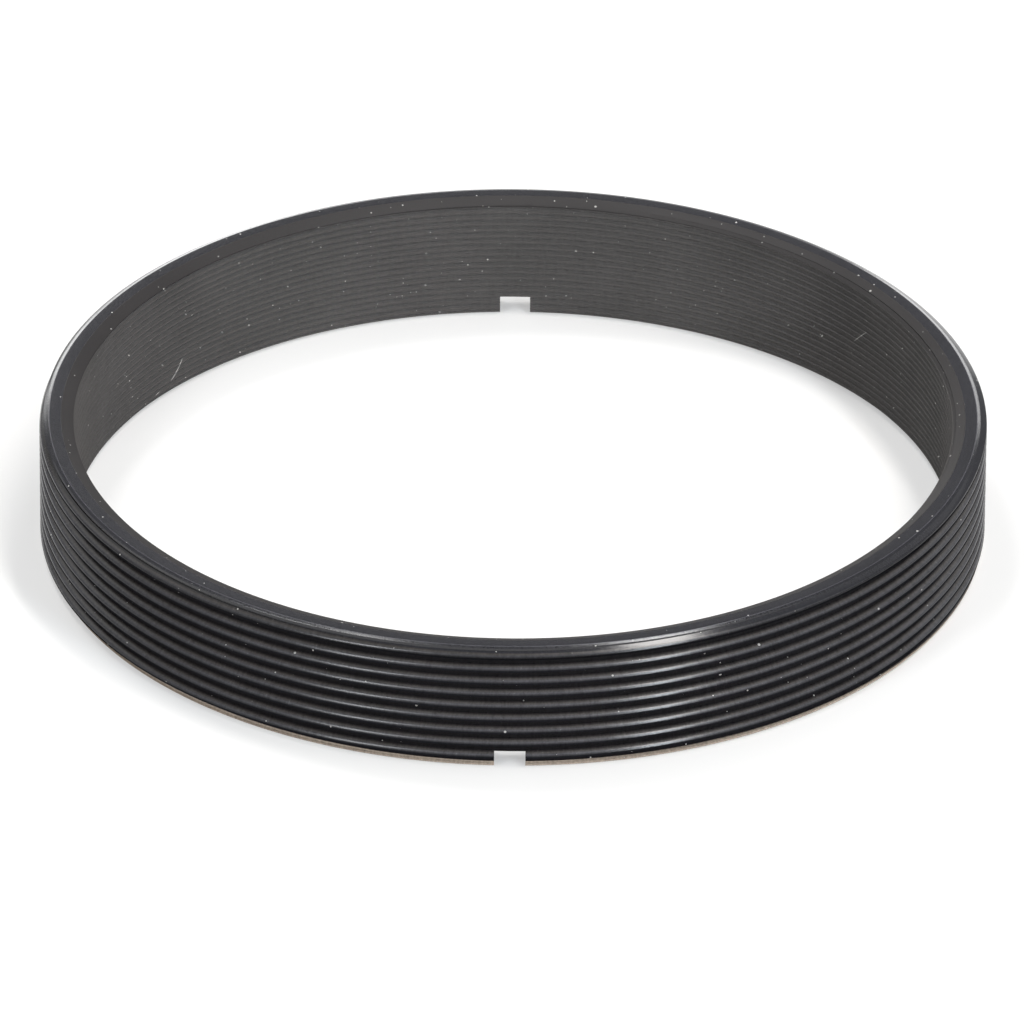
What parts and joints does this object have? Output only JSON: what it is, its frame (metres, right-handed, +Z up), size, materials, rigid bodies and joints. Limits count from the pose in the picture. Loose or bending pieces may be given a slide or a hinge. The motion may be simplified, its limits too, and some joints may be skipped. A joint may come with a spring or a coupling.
{
  "type": "lens adapter ring",
  "caption": "Thin-walled turned ring with a coarse thread outside, a fine thread inside, bevelled rims and spanner notches, joining a lens to a mount of another thread.",
  "frame": {"origin": "centre of the ring's bottom face, the face with the spanner notches, on the ring's axis", "axes": "+Z up along the ring's axis, from the notched face to the plain rim; Y runs through the two spanner notches"},
  "size_m": [0.0678, 0.0678, 0.0095],
  "materials": {
    "black_anodised": "black anodised aluminium, satin, with a little dust"
  },
  "bodies": {
    "root": {"adapter_ring": "black_anodised"}
  },
  "joints": []
}
